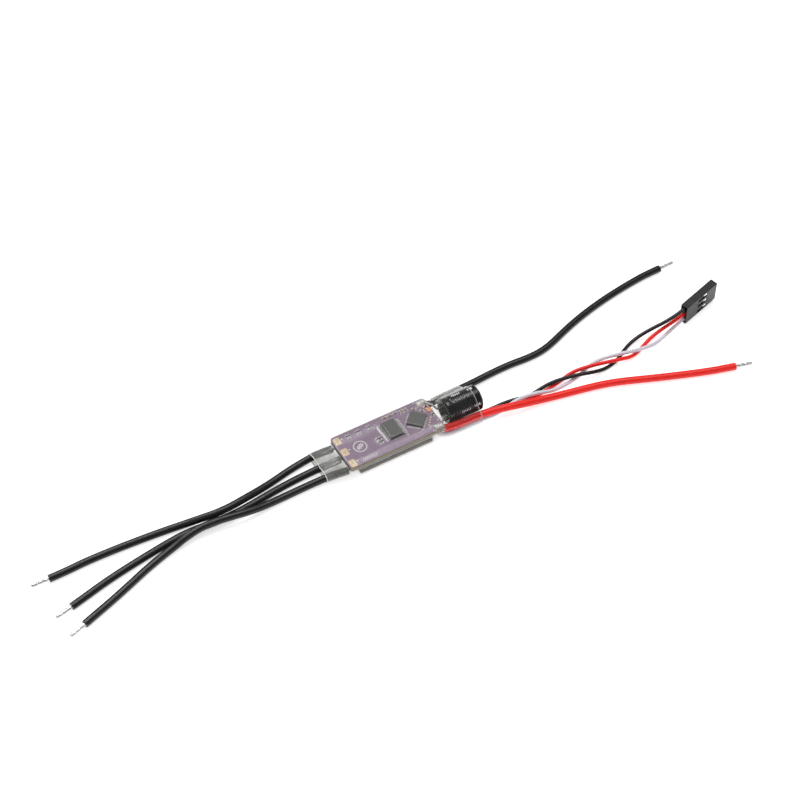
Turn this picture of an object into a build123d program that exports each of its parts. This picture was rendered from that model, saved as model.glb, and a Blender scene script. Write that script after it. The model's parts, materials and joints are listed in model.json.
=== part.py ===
from build123d import *
import math
import os

# Brushless-motor electronic speed controller in a clear heat-shrink sleeve, with three motor wires,
# two battery wires and a three-way servo lead.
# Millimetres. X runs from the motor wires (-X) to the battery wires (+X), Y across the board, Z up.
# Origin: on the flat underside of the sleeve, below the middle of the circuit board.

# ---------------------------------------------------------------- driving dimensions
sleeve_wall = 0.3
inside_gap = 0.02           # slack between parts stacked inside the sleeve

board_length = 32.0
board_width = 13.2
board_thickness = 1.6
board_bottom = 3.2
land_thickness = 0.05

slab_left = -12.8           # ends of the heat plate under the board
slab_right = 12.0
slab_width = 12.8
mosfet_height = 1.0
thermal_pad_thickness = 0.5

power_wire_diameter = 2.3   # 18 AWG silicone wire
power_conductor_diameter = 1.2
signal_wire_diameter = 1.2  # 28 AWG silicone wire
signal_conductor_diameter = 0.5
wire_tip_length = 5.5

capacitor_diameter = 8.0
capacitor_length = 12.0
capacitor_start = 18.6
capacitor_y = -1.0
capacitor_lead_spacing = 3.5
capacitor_lead_diameter = 0.6

plug_length = 14.2          # three-way 2.54 mm housing
plug_thickness = 2.54
plug_width = 7.62
plug_pitch = 2.54
plug_heading = 14.4         # degrees from +X, seen from above
plug_lift = 4.0             # degrees, mating end up
plug_roll = 2.6             # degrees, leaning away from the far side
plug_foot = (104.83, -5.05, 0)   # lowest corner, at the wire end

# ---------------------------------------------------------------- derived sizes
board_top = board_bottom + board_thickness
land_top = board_top + land_thickness
land_bottom = board_bottom - land_thickness
capacitor_radius = capacitor_diameter / 2
capacitor_z = sleeve_wall + 0.05 + capacitor_radius
conductor_z = land_bottom - power_conductor_diameter / 2

# ---------------------------------------------------------------- where things sit on the board
pad_x = -14.55
pad_rows = (4.45, -0.25, -5.0)
battery_pads = ((14.3, 5.05), (14.3, -5.35))
signal_pads = ((12.3, -2.2), (12.75, -0.55), (13.7, 0.9))
driver_x, driver_y = 1.65, 0.15
controller_x, controller_y = 9.8, -0.14
controller_turn = 45
led_x, led_y = 15.05, 1.45

# x, y, turn of each small two-ended part on the top face
resistor_places = (
    [(x + side * 0.42, 4.55, 90) for x in (-10.8, -7.45, -3.75) for side in (-1, 1)]
    + [(x, y, 90) for x in (-3.97, -3.0) for y in (-0.85, -2.2)]
    + [(14.9, 3.2, 0), (15.25, -0.69, 90)]
)
ceramic_places = (
    [(x, 5.5, 8) for x in (1.93, 3.7, 5.6)]
    + [(x, 4.9, 90) for x in (7.12, 8.16, 9.26)]
    + [(11.3, 3.9, -45), (13.2, 2.15, -45)]
)
test_pad_places = [(14.07, -1.31), (13.42, -2.03), (12.77, -2.88), (12.09, -3.64), (15.4, -3.2)]

# ---------------------------------------------------------------- wire routes, insulation end to end
motor_wire_far_route = [
    (-16.3, 4.45, 2.55), (-18.8, 4.7, 2.55), (-21.8, 5.3, 1.9), (-25.6, 5.35, 1.3), (-30.8, 4.7, 1.15),
    (-37, 3.3, 1.2), (-42.6, 1.9, 1.95), (-47.4, 0.75, 2.85), (-52, -0.05, 3.15), (-57, -0.1, 3.15),
    (-61.8, 1.0, 2.45), (-66.4, 2.3, 1.35), (-71.8, 3.1, 1.15), (-79.5, 3.75, 1.15), (-87.5, 4.25, 1.15),
    (-96, 4.5, 1.15), (-102.6, 4.2, 1.15), (-107.2, 4.3, 1.15),
]
motor_wire_middle_route = [
    (-16.3, -0.25, 2.55), (-18.8, -0.15, 2.55), (-21.8, 0.35, 1.85), (-26, 0.8, 1.2), (-31.5, 0.6, 1.15),
    (-38, 0, 1.15), (-45, -0.95, 1.15), (-51.5, -1.5, 1.15), (-57.5, -1.45, 1.15), (-62.5, -1.05, 1.15),
    (-67.5, -0.9, 1.15), (-73, -1.35, 1.15), (-80, -2.35, 1.15), (-87.5, -3.55, 1.15),
    (-94.5, -4.9, 1.15), (-100.6, -6.45, 1.15), (-105.6, -7.65, 1.15),
]
motor_wire_near_route = [
    (-16.3, -5.0, 2.55), (-18.8, -4.65, 2.55), (-21.8, -3.8, 1.9), (-26, -3.2, 1.25),
    (-31.5, -3.15, 1.15), (-38, -3.35, 1.2), (-43.8, -3.75, 1.8), (-48.6, -3.85, 2.6),
    (-53.4, -3.4, 3.15), (-58.4, -2.7, 3.2), (-63.2, -2.4, 3.0), (-67.8, -2.98, 2.5),
    (-72, -3.7, 1.55), (-76.6, -4.75, 1.15), (-82.5, -6.7, 1.15), (-89, -9.25, 1.15),
    (-95.8, -11.75, 1.15), (-101, -13.5, 1.15), (-104.9, -14.85, 1.15),
]
battery_wire_black_route = [
    (16.4, 5.1, 2.55), (19.4, 5.35, 2.55), (23.4, 6.0, 2.0), (28.6, 6.3, 1.6), (34.5, 6.75, 1.25),
    (41, 7.25, 1.15), (47.7, 7.35, 1.15), (53, 6.9, 1.15), (58.2, 7.0, 1.15), (63, 8.1, 1.15),
    (70.2, 10.9, 1.15), (77.8, 13.35, 1.15), (86.4, 15.45, 1.15), (95.1, 16.95, 1.15),
    (103, 17.95, 1.15), (107.2, 18.2, 1.15), (111.1, 18.25, 1.15),
]
battery_wire_red_route = [
    (16.4, -5.35, 2.55), (18.7, -5.95, 2.75), (22.6, -6.25, 2.8), (27.8, -6.3, 2.8), (32.6, -7.1, 2.8),
    (37.3, -8.2, 2.9), (42.2, -9.05, 2.3), (47.6, -9.6, 1.45), (53.4, -10.7, 1.15), (60.4, -12.1, 1.15),
    (67, -13.55, 1.15), (72.8, -15.4, 1.15), (81.5, -19.05, 1.15), (90.2, -22.55, 1.15),
    (98.4, -25.6, 1.15), (103, -27.0, 1.15), (106.9, -28.1, 1.15),
]
signal_wire_white_route = [
    (12.9, -3.0, 2.2), (14.1, -4.7, 1.3), (15.6, -6.05, 0.95), (18.0, -6.75, 0.94), (22.4, -6.86, 0.94),
    (28.4, -6.88, 0.92), (33, -7.1, 0.65), (36.9, -7.02, 1.3), (40.8, -6.5, 1.97), (44.6, -6.45, 1.9),
    (48.6, -7.25, 1.95), (52, -8.15, 1.37), (56, -7.95, 0.65), (60.4, -7.5, 0.6), (64.6, -6.45, 0.6),
    (68.4, -4.9, 0.6), (72, -4.45, 0.75), (75.6, -5.4, 1.42), (79, -6.65, 1.97), (83, -7.65, 2.02),
    (86.8, -8.35, 1.9), (90.8, -7.9, 0.95), (94.6, -6.75, 0.62), (98.6, -5.5, 0.8),
    (102.5, -4.41, 1.18), (106.57, -3.36, 1.47),
]
signal_wire_red_route = [
    (13.4, -1.3, 2.3), (14.8, -2.95, 1.45), (16.4, -4.45, 0.99), (18.6, -5.5, 0.95), (22.4, -5.61, 0.94),
    (28.4, -5.64, 0.92), (33.4, -5.82, 0.62), (37.4, -5.74, 0.6), (41.2, -6.15, 0.6), (44.8, -7.1, 0.6),
    (48.4, -7.1, 0.6), (52.2, -6.65, 0.6), (56, -6.0, 0.6), (59.2, -5.25, 0.65), (62.4, -5.0, 1.3),
    (66, -5.75, 1.95), (70.2, -6.6, 1.95), (74.4, -7.65, 1.92), (78.4, -8.5, 1.75), (81.8, -8.65, 1.0),
    (84.8, -7.75, 0.6), (88.4, -6.2, 0.7), (92.4, -4.95, 1.35), (97.2, -4.75, 2.6),
    (102.37, -4.56, 3.71), (106.43, -3.51, 4.0),
]
signal_wire_black_route = [
    (14.3, 0.1, 2.3), (15.7, -1.75, 1.5), (17.2, -3.45, 0.99), (19.1, -4.25, 0.94), (22.4, -4.37, 0.94),
    (28.4, -4.4, 0.92), (33.4, -4.58, 0.62), (37.4, -4.5, 0.6), (41.2, -4.9, 0.6), (44.6, -5.8, 0.6),
    (47.6, -5.9, 0.65), (50.8, -5.55, 1.1), (54.4, -5.8, 1.92), (59, -6.4, 1.95), (63.2, -7.3, 1.9),
    (67.4, -8.4, 1.6), (71.4, -8.65, 0.85), (75, -8.05, 0.6), (78.2, -6.9, 0.6), (81.2, -5.15, 0.6),
    (84.2, -3.75, 0.65), (88, -2.95, 1.2), (92.6, -3.3, 2.6), (97.4, -4.5, 4.6), (102.22, -4.71, 6.24),
    (106.28, -3.67, 6.53),
]

os.makedirs("parts", exist_ok=True)


def write(part, name):
    """Label a finished piece and write its STEP file."""
    part.label = name
    export_step(part, f"parts/{name}.step")


def corner_radii(route):
    """Radius of the arc at each inner corner: 0.45 of the shorter run over tan(half the turn)."""
    points = [Vector(*p) for p in route]
    radii = []
    for before, corner, after in zip(points, points[1:], points[2:]):
        run_in = corner - before
        run_out = after - corner
        half_turn = math.radians(run_in.get_angle(run_out) / 2)
        radii.append(0.45 * min(run_in.length, run_out.length) / math.tan(half_turn))
    return radii


def wire_tube(route, diameter, name):
    """Insulated wire as one tube of straight runs joined by tangent arcs."""
    radii = corner_radii(route)
    with BuildPart() as tube:
        with BuildLine() as path:
            FilletPolyline(*route, radius=radii)
        with BuildSketch(Plane(origin=path.line @ 0, z_dir=path.line % 0)):
            Circle(diameter / 2)
        sweep()
    length = path.wire().length
    expected = math.pi * diameter**2 / 4 * length
    print(f"{name}: length {length:.1f}, volume ratio {tube.part.volume / expected:.4f},"
          f" smallest radius {min(radii):.1f} = {min(radii) / diameter:.1f} diameters")
    return tube.part


def end_plane(route, at_start):
    """Plane at one end of a route, its normal pointing away from the wire."""
    points = [Vector(*p) for p in route]
    if at_start:
        return Plane(origin=points[0], z_dir=points[0] - points[1])
    return Plane(origin=points[-1], z_dir=points[-1] - points[-2])


def flat_plates(places, sizes, plane, thickness):
    """Group of separate rectangular plates standing on a plane."""
    with BuildPart() as plates:
        for (x, y, turn), (length, width) in zip(places, sizes):
            with BuildSketch(plane):
                with Locations(Location((x, y, 0), (0, 0, turn))):
                    Rectangle(length, width)
            extrude(amount=thickness)
    return plates.part


# ---------------------------------------------------------------- circuit board
with BuildPart() as circuit_board:
    with BuildSketch(Plane.XY.offset(board_bottom)):
        RectangleRounded(board_length, board_width, 0.9)
        with Locations(*[(pad_x, y) for y in pad_rows]):
            Circle(0.3, mode=Mode.SUBTRACT)
    extrude(amount=board_thickness)
write(circuit_board.part, "circuit_board")

# Motor solder pads: a gold pad on each face, joined by the plated barrel of its via
with BuildPart() as motor_pads:
    with BuildSketch(Plane.XY.offset(board_top)):
        with Locations(*[(pad_x, y) for y in pad_rows]):
            RectangleRounded(2.05, 2.8, 0.45)
            Circle(0.2, mode=Mode.SUBTRACT)
    extrude(amount=land_thickness)
    with BuildSketch(Plane.XY.offset(land_bottom)):
        with Locations(*[(pad_x, y) for y in pad_rows]):
            RectangleRounded(2.05, 2.8, 0.45)
            Circle(0.2, mode=Mode.SUBTRACT)
    extrude(amount=land_thickness)
    with BuildSketch(Plane.XY.offset(land_bottom)):
        with Locations(*[(pad_x, y) for y in pad_rows]):
            Circle(0.3)
            Circle(0.2, mode=Mode.SUBTRACT)
    extrude(amount=land_top - land_bottom)
write(motor_pads.part, "motor_pads")

with BuildPart() as battery_pad_plates:
    for height in (board_top, land_bottom):
        with BuildSketch(Plane.XY.offset(height)):
            with Locations(*battery_pads):
                RectangleRounded(2.9, 1.8, 0.4)
        extrude(amount=land_thickness)
write(battery_pad_plates.part, "battery_pads")

with BuildPart() as signal_pad_plates:
    with BuildSketch(Plane.XY.offset(land_bottom)):
        with Locations(*signal_pads):
            RectangleRounded(1.2, 0.9, 0.2)
    extrude(amount=land_thickness)
write(signal_pad_plates.part, "signal_pads")

# ---------------------------------------------------------------- gate driver, 20 gull-wing leads
driver_width = 4.4
driver_length = 6.5
driver_height = 1.0
driver_standoff = 0.1
driver_pins = 10
driver_pitch = 0.65
driver_bottom = board_top + driver_standoff

with BuildPart() as gate_driver:
    with BuildSketch(Plane.XY.offset(driver_bottom + driver_height / 2)):
        with Locations((driver_x, driver_y)):
            Rectangle(driver_width, driver_length)
    extrude(amount=driver_height / 2, taper=8)
    with BuildSketch(Plane.XY.offset(driver_bottom + driver_height / 2)):
        with Locations((driver_x, driver_y)):
            Rectangle(driver_width, driver_length)
    extrude(amount=-driver_height / 2, taper=8)
write(gate_driver.part, "gate_driver")

lead_width = 0.24
lead_thickness = 0.14
lead_mid = driver_bottom + driver_height / 2
pin_rows = [driver_y + (i - (driver_pins - 1) / 2) * driver_pitch for i in range(driver_pins)]
with BuildPart() as gate_driver_leads:
    for row in pin_rows:
        for side in (-1, 1):
            with BuildSketch(Plane(origin=(driver_x, row - side * lead_width / 2, 0),
                                   x_dir=(side, 0, 0), z_dir=(0, side, 0))):
                # seen along the row: shoulder out of the body, down to a flat foot
                with BuildLine():
                    Polyline(
                        (driver_width / 2, -lead_mid),
                        (driver_width / 2 + 0.32, -lead_mid),
                        (driver_width / 2 + 0.5, -land_top - lead_thickness),
                        (3.2, -land_top - lead_thickness),
                        (3.2, -land_top),
                        (driver_width / 2 + 0.4, -land_top),
                        (driver_width / 2 + 0.22, -lead_mid + lead_thickness),
                        (driver_width / 2, -lead_mid + lead_thickness),
                        close=True,
                    )
                make_face()
            extrude(amount=lead_width)
write(gate_driver_leads.part, "gate_driver_leads")

# ---------------------------------------------------------------- microcontroller, flat no-lead package
controller_size = 5.0
controller_height = 0.8
controller_plane = Plane.XY.offset(land_top) * Location((controller_x, controller_y, 0),
                                                        (0, 0, controller_turn))
with BuildPart() as microcontroller:
    with BuildSketch(controller_plane):
        RectangleRounded(controller_size, controller_size, 0.1)
    extrude(amount=controller_height)
write(microcontroller.part, "microcontroller")

# Solder lands of the two chips, of the small parts and of the test pads
land_places = []
land_sizes = []
for row in pin_rows:
    for side in (-1, 1):
        land_places.append((driver_x + side * 3.2, row, 0))
        land_sizes.append((1.1, 0.36))
for quarter in range(4):
    angle = controller_turn + 90 * quarter
    for i in range(8):
        along = (i - 3.5) * 0.5
        out = controller_size / 2 + 0.15
        x = controller_x + out * math.cos(math.radians(angle)) - along * math.sin(math.radians(angle))
        y = controller_y + out * math.sin(math.radians(angle)) + along * math.cos(math.radians(angle))
        land_places.append((x, y, angle))
        land_sizes.append((0.9, 0.27))
chip_lands = flat_plates(land_places, land_sizes, Plane.XY.offset(board_top), land_thickness)
write(chip_lands, "chip_lands")

with BuildPart() as test_pads:
    with BuildSketch(Plane.XY.offset(board_top)):
        with Locations(*test_pad_places):
            Circle(0.28)
    extrude(amount=land_thickness)
write(test_pads.part, "test_pads")

# ---------------------------------------------------------------- small two-ended parts (0402 size)
small_length = 1.0
small_width = 0.5
cap_length = 0.22


def small_bodies(places, height):
    """Bodies between the end caps, as a group of separate blocks."""
    size = (small_length - 2 * cap_length, small_width)
    return flat_plates(places, [size] * len(places), Plane.XY.offset(land_top), height)


def end_offsets(places, distance):
    """Both ends of each part, that far from its middle."""
    return [
        (x + side * distance * math.cos(math.radians(turn)),
         y + side * distance * math.sin(math.radians(turn)), turn)
        for x, y, turn in places
        for side in (-1, 1)
    ]


resistor_height = 0.3
ceramic_height = 0.32
write(small_bodies(resistor_places, resistor_height), "chip_resistors")
write(small_bodies(ceramic_places, ceramic_height), "ceramic_capacitors")

cap_places = end_offsets(resistor_places, (small_length - cap_length) / 2)
resistor_end_caps = flat_plates(cap_places, [(cap_length, small_width)] * len(cap_places),
                                Plane.XY.offset(land_top), resistor_height + 0.04)
write(resistor_end_caps, "resistor_end_caps")
cap_places = end_offsets(ceramic_places, (small_length - cap_length) / 2)
ceramic_end_caps = flat_plates(cap_places, [(cap_length, small_width)] * len(cap_places),
                               Plane.XY.offset(land_top), ceramic_height + 0.04)
write(ceramic_end_caps, "ceramic_end_caps")

small_lands = end_offsets(resistor_places + ceramic_places, 0.55)
small_part_lands = flat_plates(small_lands, [(0.56, 0.56)] * len(small_lands),
                               Plane.XY.offset(board_top), land_thickness)
write(small_part_lands, "small_part_lands")

# ---------------------------------------------------------------- status light
with BuildPart() as status_led:
    with BuildSketch(Plane.XY.offset(board_top)):
        with Locations((led_x, led_y)):
            RectangleRounded(1.3, 1.6, 0.1)
    extrude(amount=0.55)
    with BuildSketch(Plane.XY.offset(board_top + 0.55)):
        with Locations((led_x, led_y)):
            Circle(0.38)
    extrude(amount=-0.2, mode=Mode.SUBTRACT)
write(status_led.part, "status_led")
with BuildPart() as status_led_lens:
    with BuildSketch(Plane.XY.offset(board_top + 0.35)):
        with Locations((led_x, led_y)):
            Circle(0.38)
    extrude(amount=0.14)
write(status_led_lens.part, "status_led_lens")

# ---------------------------------------------------------------- underside: switches and supply
mosfet_size = (5.9, 4.9)
mosfet_columns = (-9.3, -2.9, 3.5)
mosfet_rows = (2.75, -2.75)
number = 0
for column in mosfet_columns:
    for row in mosfet_rows:
        number += 1
        with BuildPart() as mosfet:
            with BuildSketch(Plane.XY.offset(board_bottom)):
                with Locations((column, row)):
                    Rectangle(*mosfet_size)
            extrude(amount=-mosfet_height)
            chamfer(mosfet.edges().group_by(Axis.Z)[0], 0.08)
        write(mosfet.part, f"mosfet_{number}")

with BuildPart() as supply_inductor:
    with BuildSketch(Plane.XY.offset(board_bottom)):
        with Locations((9.1, 3.1)):
            RectangleRounded(3.6, 3.6, 0.4)
    extrude(amount=-mosfet_height)
write(supply_inductor.part, "supply_inductor")

with BuildPart() as supply_regulator:
    with BuildSketch(Plane.XY.offset(board_bottom)):
        with Locations((9.1, -2.6)):
            Rectangle(2.9, 2.8)
    extrude(amount=-mosfet_height)
write(supply_regulator.part, "supply_regulator")

# ---------------------------------------------------------------- thermal pad and heat plate
slab_middle = (slab_left + slab_right) / 2
slab_length = slab_right - slab_left
pad_bottom = board_bottom - mosfet_height - thermal_pad_thickness
plate_bottom = sleeve_wall + inside_gap
with BuildPart() as thermal_pad:
    with BuildSketch(Plane.XY.offset(pad_bottom)):
        with Locations((slab_middle, 0)):
            Rectangle(slab_length - 0.6, slab_width - 0.6)
    extrude(amount=thermal_pad_thickness)
write(thermal_pad.part, "thermal_pad")

with BuildPart() as heat_plate:
    with BuildSketch(Plane.XY.offset(plate_bottom)):
        with Locations((slab_middle, 0)):
            RectangleRounded(slab_length, slab_width, 0.5)
    extrude(amount=pad_bottom - plate_bottom)
    chamfer(heat_plate.edges().group_by(Axis.Z)[0], 0.15)
write(heat_plate.part, "heat_plate")

# ---------------------------------------------------------------- bulk capacitor, axis along X
capacitor_origin = (capacitor_start, capacitor_y, capacitor_z)
capacitor_profile = Plane(origin=capacitor_origin, x_dir=(1, 0, 0), z_dir=(0, -1, 0))
capacitor_axis = Axis(capacitor_origin, (1, 0, 0))
capacitor_face = Plane(origin=capacitor_origin, x_dir=(0, 1, 0), z_dir=(1, 0, 0))
can_wall = 0.3
film = 0.13                 # the can's own printed sleeve
can_radius = capacitor_radius - film - inside_gap
groove_at = 2.05
groove_depth = 0.4
can_end = capacitor_length - film - inside_gap
lead_rows = (-capacitor_lead_spacing / 2, capacitor_lead_spacing / 2)


def turned(points):
    """Solid of revolution about the capacitor's axis; points are (along the axis, radius)."""
    with BuildPart() as solid:
        with BuildSketch(capacitor_profile):
            with BuildLine():
                Polyline(*points, close=True)
            make_face()
        revolve(axis=capacitor_axis)
    return solid.part


capacitor_can = turned([
    (0.3, 3.0), (0.3, can_radius - 0.25), (0.55, can_radius), (groove_at - 0.4, can_radius),
    (groove_at, can_radius - groove_depth), (groove_at + 0.4, can_radius), (can_end - 0.5, can_radius),
    (can_end, can_radius - 0.5), (can_end, 0), (can_end - can_wall, 0),
    (can_end - can_wall, can_radius - 0.65), (can_end - 0.65, can_radius - can_wall),
    (groove_at + 0.5, can_radius - can_wall), (groove_at, can_radius - groove_depth - can_wall),
    (groove_at - 0.5, can_radius - can_wall), (0.6, can_radius - can_wall), (0.6, 3.0),
])
write(capacitor_can, "capacitor_can")

sleeve_inner = capacitor_radius - film
capacitor_sleeve = turned([
    (0.12, 3.3), (0.12, capacitor_radius - 0.35), (0.45, capacitor_radius),
    (groove_at - 0.4, capacitor_radius), (groove_at, capacitor_radius - groove_depth),
    (groove_at + 0.4, capacitor_radius), (capacitor_length - 0.5, capacitor_radius),
    (capacitor_length, capacitor_radius - 0.5), (capacitor_length, 2.9),
    (capacitor_length - film, 2.9), (capacitor_length - film, sleeve_inner - 0.48),
    (capacitor_length - film - 0.5, sleeve_inner), (groove_at + 0.42, sleeve_inner),
    (groove_at, sleeve_inner - groove_depth), (groove_at - 0.42, sleeve_inner),
    (0.5, sleeve_inner), (0.25, sleeve_inner - 0.25), (0.25, 3.3),
])
write(capacitor_sleeve, "capacitor_sleeve")

with BuildPart() as capacitor_bung:
    with BuildSketch(capacitor_face.offset(0.35)):
        Circle(2.95)
    extrude(amount=0.3)
    with BuildSketch(capacitor_face.offset(0.65)):
        Circle(3.1)
    extrude(amount=1.6)
    with BuildSketch(capacitor_face.offset(0.35)):
        with Locations(*[(y, 0) for y in lead_rows]):
            Circle(capacitor_lead_diameter / 2 + 0.01)
    extrude(amount=2, mode=Mode.SUBTRACT)
write(capacitor_bung.part, "capacitor_bung")

with BuildPart() as capacitor_winding:
    with BuildSketch(capacitor_face.offset(2.95)):
        Circle(3.3)
    extrude(amount=8.2)
write(capacitor_winding.part, "capacitor_winding")

# Leads leave the bung straight, then bend out and up to the two battery pads
lead_start = capacitor_start + 2.93
lead_bend = capacitor_start - 1.0
lead_z = land_top + capacitor_lead_diameter / 2 + 0.02
lead_routes = {
    "capacitor_lead_far": [
        (lead_start, capacitor_y + lead_rows[1], capacitor_z),
        (lead_bend, capacitor_y + lead_rows[1], capacitor_z),
        (16.75, 2.5, lead_z), (15.4, 4.5, lead_z), (13.1, 5.15, lead_z),
    ],
    "capacitor_lead_near": [
        (lead_start, capacitor_y + lead_rows[0], capacitor_z),
        (lead_bend, capacitor_y + lead_rows[0], capacitor_z),
        (16.9, -3.9, lead_z), (15.8, -5.05, lead_z), (13.5, -5.45, lead_z),
    ],
}
capacitor_leads = {}
for name, route in lead_routes.items():
    with BuildPart() as lead:
        with BuildLine() as path:
            FilletPolyline(*route, radius=0.8)
        with BuildSketch(Plane(origin=path.line @ 0, z_dir=path.line % 0)):
            Circle(capacitor_lead_diameter / 2)
        sweep()
    capacitor_leads[name] = lead.part
    write(lead.part, name)

# ---------------------------------------------------------------- wires
power_routes = {
    "motor_wire_far": motor_wire_far_route,
    "motor_wire_middle": motor_wire_middle_route,
    "motor_wire_near": motor_wire_near_route,
    "battery_wire_black": battery_wire_black_route,
    "battery_wire_red": battery_wire_red_route,
}
signal_routes = {
    "signal_wire_white": signal_wire_white_route,
    "signal_wire_red": signal_wire_red_route,
    "signal_wire_black": signal_wire_black_route,
}
wires = {}
for name, route in power_routes.items():
    wires[name] = wire_tube(route, power_wire_diameter, name)
for name, route in signal_routes.items():
    wires[name] = wire_tube(route, signal_wire_diameter, name)
for name, wire in wires.items():
    write(wire, name)

# Tinned free ends of the power wires
for name, route in power_routes.items():
    with BuildPart() as tip:
        with BuildSketch(end_plane(route, at_start=False)):
            Circle(power_conductor_diameter / 2)
        extrude(amount=wire_tip_length)
        chamfer(tip.edges().sort_by_distance(route[-1])[-1], 0.12)
    write(tip.part, f"{name}_tip")


def bared_starts(routes, diameter, length):
    """Bared conductors at the board end of some wires, as one group."""
    with BuildPart() as strands:
        for route in routes:
            with BuildSketch(end_plane(route, at_start=True)):
                Circle(diameter / 2)
            extrude(amount=length)
    return strands.part


motor_routes = (motor_wire_far_route, motor_wire_middle_route, motor_wire_near_route)
battery_routes = (battery_wire_black_route, battery_wire_red_route)
motor_conductors = bared_starts(motor_routes, power_conductor_diameter, 2.7)
battery_conductors = bared_starts(battery_routes, power_conductor_diameter, 2.2)
signal_conductors = bared_starts(signal_routes.values(), signal_conductor_diameter, 1.0)
write(motor_conductors, "motor_conductors")
write(battery_conductors, "battery_conductors")
write(signal_conductors, "signal_conductors")

# ---------------------------------------------------------------- solder
solder_depth = 0.85
with BuildPart() as solder_underside:
    with BuildSketch(Plane.XY.offset(land_bottom)):
        with Locations(*[(pad_x - 0.1, y) for y in pad_rows]):
            RectangleRounded(2.0, 2.3, 0.4)
        with Locations(*battery_pads):
            RectangleRounded(2.4, 1.7, 0.4)
    extrude(amount=-solder_depth, taper=20)
    with Locations(*[(x, y, land_bottom - 0.3) for x, y in signal_pads]):
        Sphere(0.5)
    # nothing above the pads
    with BuildSketch(Plane.XY.offset(land_bottom)):
        Rectangle(board_length, board_width)
    extrude(amount=board_thickness, mode=Mode.SUBTRACT)
    for conductors in (motor_conductors, battery_conductors, signal_conductors):
        add(conductors, mode=Mode.SUBTRACT)
write(solder_underside.part, "solder_underside")

# Mounds over the capacitor's leads, one on each battery pad
solder_height = 0.5
with BuildPart() as solder_top:
    with BuildSketch(Plane.XY.offset(land_top)):
        with Locations(*battery_pads):
            RectangleRounded(2.8, 1.6, 0.6)
    extrude(amount=solder_height)
    fillet(solder_top.faces().sort_by(Axis.Z)[-2:].edges(), 0.4)
    for lead_part in capacitor_leads.values():
        add(lead_part, mode=Mode.SUBTRACT)
write(solder_top.part, "solder_top")

# ---------------------------------------------------------------- servo plug
heading, lift, roll = (math.radians(a) for a in (plug_heading, plug_lift, plug_roll))
along = Vector(math.cos(heading) * math.cos(lift), math.sin(heading) * math.cos(lift), math.sin(lift))
level_side = Vector(math.sin(heading), -math.cos(heading), 0)
upright = level_side.cross(along)
up = upright * math.cos(roll) + level_side * math.sin(roll)
plug_frame = Plane(origin=plug_foot, x_dir=along, z_dir=up)

cavity = 1.9
cavity_wall = (plug_thickness - cavity) / 2
mating_wall = 1.2
contact_opening = 1.0
window_start, window_end = 5.4, 9.9
cavity_rows = [(i + 0.5) * plug_width / 3 for i in range(3)]
wire_depth = 2.2


def plug_section(distance):
    """Plane across the plug that far from its wire end; x across the thickness, y up."""
    return plug_frame * Plane(origin=(distance, 0, 0), x_dir=(0, 1, 0), z_dir=(1, 0, 0))


with BuildPart() as connector_housing:
    with BuildSketch(plug_section(0)):
        with Locations((plug_thickness / 2, plug_width / 2)):
            RectangleRounded(plug_thickness, plug_width, 0.15)
    extrude(amount=plug_length)
    with BuildSketch(plug_section(0)):
        with Locations(*[(plug_thickness / 2, h) for h in cavity_rows]):
            Rectangle(cavity, cavity)
    extrude(amount=plug_length - mating_wall, mode=Mode.SUBTRACT)
    with BuildSketch(plug_section(plug_length - mating_wall)):
        with Locations(*[(plug_thickness / 2, h) for h in cavity_rows]):
            Rectangle(contact_opening, contact_opening)
    extrude(amount=mating_wall, mode=Mode.SUBTRACT)
    # latch windows, on the face turned to -Y
    with BuildSketch(plug_frame * Plane.XZ):
        with Locations(*[((window_start + window_end) / 2, h) for h in cavity_rows]):
            Rectangle(window_end - window_start, 1.5)
    extrude(amount=-cavity_wall, mode=Mode.SUBTRACT)
write(connector_housing.part, "connector_housing")

# Crimp terminals: collar round the insulation, crimped barrel, hollow contact box
box_outer = 1.7
box_inner = 1.1
for i, height in enumerate(cavity_rows, start=1):
    with BuildPart() as terminal:
        with BuildSketch(plug_section(0.9)):
            with Locations((plug_thickness / 2, height)):
                Circle(0.8)
                Circle(signal_wire_diameter / 2 + 0.02, mode=Mode.SUBTRACT)
        extrude(amount=1.2)
        with BuildSketch(plug_section(2.0)):
            with Locations((plug_thickness / 2, height - 0.7)):
                Rectangle(0.7, 0.18)
        extrude(amount=3.0)
        with BuildSketch(plug_section(wire_depth + 0.03)):
            with Locations((plug_thickness / 2, height)):
                Ellipse(0.5, 0.66)
        extrude(amount=2.4)
        with BuildSketch(plug_section(4.9)):
            with Locations((plug_thickness / 2, height)):
                Rectangle(box_outer, box_outer)
                Rectangle(box_inner, box_inner, mode=Mode.SUBTRACT)
        extrude(amount=7.8)
    write(terminal.part, f"connector_terminal_{i}")

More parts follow.
